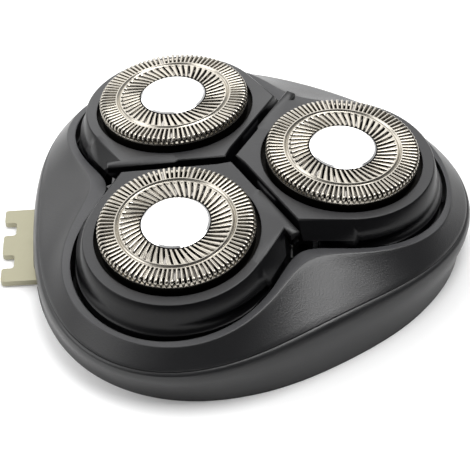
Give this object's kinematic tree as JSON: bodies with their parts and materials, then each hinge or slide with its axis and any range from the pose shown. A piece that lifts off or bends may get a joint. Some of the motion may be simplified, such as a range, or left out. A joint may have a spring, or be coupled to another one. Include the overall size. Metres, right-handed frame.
{
  "type": "rotary shaver head",
  "caption": "Lobed shaver head: slotted round guards over spinning cutters in tilting carriers, set in a black housing with a comb hinge plate.",
  "frame": {"origin": "on the three-fold axis, in the plane of the housing's bottom edge", "axes": "+Z out of the cutting side, +X towards head 1, -X towards the hinge plate"},
  "size_m": [0.077, 0.0728, 0.0198],
  "materials": {
    "black_housing": "satin black ABS with a fine grain",
    "black_carrier": "satin black moulded plastic",
    "grey_frame": "dark grey moulded plastic",
    "ring_plastic": "grey acetal",
    "drive_plastic": "natural white acetal",
    "guard_steel": "bright stainless steel, slots ground",
    "polished_cap": "polished disc",
    "cutter_steel": "ground stainless steel",
    "spring_steel": "blank spring steel",
    "pin_steel": "drawn steel",
    "zinc_screws": "zinc plated",
    "hinge_metal": "satin nickel-toned metal"
  },
  "bodies": {
    "housing": {"housing": "black_housing", "base_frame": "grey_frame", "frame_screws": "zinc_screws", "pivot_pins": "pin_steel", "hinge_pin": "pin_steel", "carrier_spring_1": "spring_steel", "carrier_spring_2": "spring_steel", "carrier_spring_3": "spring_steel"},
    "hinge_plate": {"hinge_plate": "hinge_metal"},
    "carrier_1": {"carrier_1": "black_carrier", "guard_1": "guard_steel", "centre_cap_1": "polished_cap"},
    "retaining_ring_1": {"retaining_ring_1": "ring_plastic"},
    "cutter_1": {"cutter_1": "cutter_steel", "drive_hub_1": "drive_plastic"},
    "carrier_2": {"carrier_2": "black_carrier", "guard_2": "guard_steel", "centre_cap_2": "polished_cap"},
    "retaining_ring_2": {"retaining_ring_2": "ring_plastic"},
    "cutter_2": {"cutter_2": "cutter_steel", "drive_hub_2": "drive_plastic"},
    "carrier_3": {"carrier_3": "black_carrier", "guard_3": "guard_steel", "centre_cap_3": "polished_cap"},
    "retaining_ring_3": {"retaining_ring_3": "ring_plastic"},
    "cutter_3": {"cutter_3": "cutter_steel", "drive_hub_3": "drive_plastic"}
  },
  "joints": [
    {"name": "hinge_plate_swing", "type": "hinge", "parent": "housing", "child": "hinge_plate", "pos_m": [-0.0308, 0, 0.0019], "axis": [0, 1, 0], "range_deg": [0, 55]},
    {"name": "carrier_1_tilt", "type": "hinge", "parent": "housing", "child": "carrier_1", "pos_m": [0.0105, 0, 0.01158], "axis": [0, 1, 0], "range_deg": [-3, 5], "stiffness_Nm_per_rad": 0.25, "deforming": ["carrier_spring_1"]},
    {"name": "cutter_1_spin", "type": "hinge", "parent": "carrier_1", "child": "cutter_1", "pos_m": [0.01753, 0, 0.01481], "axis": [0.0819, 0, 0.9966], "continuous": true},
    {"name": "retaining_ring_1_turn", "type": "hinge", "parent": "carrier_1", "child": "retaining_ring_1", "pos_m": [0.01749, 0, 0.01432], "axis": [0.0819, 0, 0.9966], "range_deg": [0, 40]},
    {"name": "carrier_2_tilt", "type": "hinge", "parent": "housing", "child": "carrier_2", "pos_m": [-0.00525, 0.00909, 0.01158], "axis": [-0.866, -0.5, 0], "range_deg": [-3, 5], "stiffness_Nm_per_rad": 0.25, "deforming": ["carrier_spring_2"]},
    {"name": "cutter_2_spin", "type": "hinge", "parent": "carrier_2", "child": "cutter_2", "pos_m": [-0.00877, 0.01518, 0.01481], "axis": [-0.041, 0.071, 0.9966], "continuous": true},
    {"name": "retaining_ring_2_turn", "type": "hinge", "parent": "carrier_2", "child": "retaining_ring_2", "pos_m": [-0.00875, 0.01515, 0.01432], "axis": [-0.041, 0.071, 0.9966], "range_deg": [0, 40]},
    {"name": "carrier_3_tilt", "type": "hinge", "parent": "housing", "child": "carrier_3", "pos_m": [-0.00525, -0.00909, 0.01158], "axis": [0.866, -0.5, 0], "range_deg": [-3, 5], "stiffness_Nm_per_rad": 0.25, "deforming": ["carrier_spring_3"]},
    {"name": "cutter_3_spin", "type": "hinge", "parent": "carrier_3", "child": "cutter_3", "pos_m": [-0.00877, -0.01518, 0.01481], "axis": [-0.041, -0.071, 0.9966], "continuous": true},
    {"name": "retaining_ring_3_turn", "type": "hinge", "parent": "carrier_3", "child": "retaining_ring_3", "pos_m": [-0.00875, -0.01515, 0.01432], "axis": [-0.041, -0.071, 0.9966], "range_deg": [0, 40]}
  ]
}
